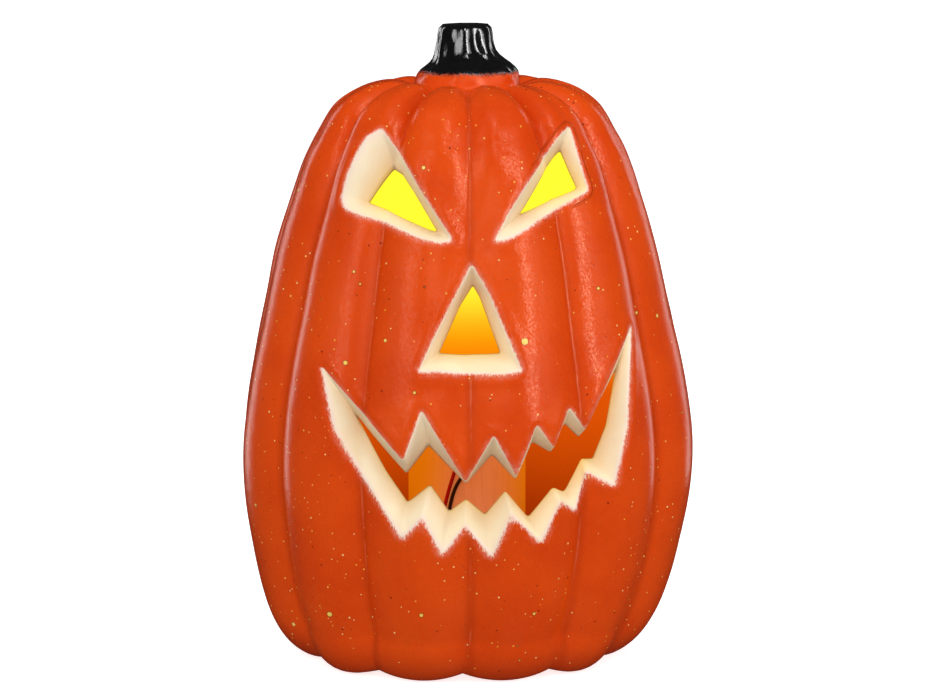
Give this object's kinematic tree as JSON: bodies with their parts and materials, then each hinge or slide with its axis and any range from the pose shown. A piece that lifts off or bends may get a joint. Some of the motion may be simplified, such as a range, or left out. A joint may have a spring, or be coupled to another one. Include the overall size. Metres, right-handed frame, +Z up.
{
  "type": "battery-lit pumpkin figure",
  "caption": "Free-standing hollow pumpkin figure with a carved-look face, lit from inside by a battery lamp on a post; battery door and slide switch under the base.",
  "frame": {"origin": "on the ground, at the middle of the ring of lobes the figure stands on", "axes": "+Z up through the stem, the face looks along -Y, +X is to the right as the face is seen"},
  "size_m": [0.2171, 0.2164, 0.305],
  "materials": {
    "shell_paint": "satin sprayed orange paint over blow-moulded plastic, cream in the recesses, black stem",
    "base_plastic": "moulded, fine texture",
    "door_plastic": "moulded, fine texture",
    "post_plastic": "moulded, semi-matt, lit orange from above",
    "screw_steel": "zinc plated",
    "spring_steel": "nickel plated",
    "cell_sleeve": null,
    "switch_metal": "pressed sheet",
    "knob_plastic": "moulded",
    "terminal_metal": "tinned",
    "board_laminate": "green solder mask",
    "chip_resin": "moulded",
    "capacitor_can": "sleeved",
    "resistor_body": "lacquered",
    "crystal_can": "drawn can",
    "led_resin": "tinted resin, lit",
    "red_sleeve": "wire insulation",
    "black_sleeve": "wire insulation"
  },
  "bodies": {
    "figure": {"pumpkin_shell": "shell_paint", "base_plate": "base_plastic", "base_screws": "screw_steel", "battery_cell_1": "cell_sleeve", "battery_cell_2": "cell_sleeve", "battery_cell_3": "cell_sleeve", "bridge_contacts": "spring_steel", "plus_contact": "spring_steel", "minus_contact": "spring_steel", "switch_body": "switch_metal", "switch_terminals": "terminal_metal", "switch_screws": "screw_steel", "lamp_post": "post_plastic", "post_screws": "screw_steel", "led_board": "board_laminate", "led_board_screws": "screw_steel", "leds": "led_resin", "timer_board": "board_laminate", "timer_board_screws": "screw_steel", "timer_chip": "chip_resin", "capacitor": "capacitor_can", "resistors": "resistor_body", "crystal": "crystal_can", "red_wires": "red_sleeve", "black_wires": "black_sleeve"},
    "door": {"battery_door": "door_plastic"},
    "knob": {"switch_knob": "knob_plastic"}
  },
  "joints": [
    {"name": "battery_door_hinge", "type": "hinge", "parent": "figure", "child": "door", "pos_m": [0, 0.0214, 0.0035], "axis": [1, 0, 0], "range_deg": [0, 100]},
    {"name": "switch_slide", "type": "slide", "parent": "figure", "child": "knob", "axis": [1, 0, 0], "range_m": [-0.002, 0.002]}
  ]
}
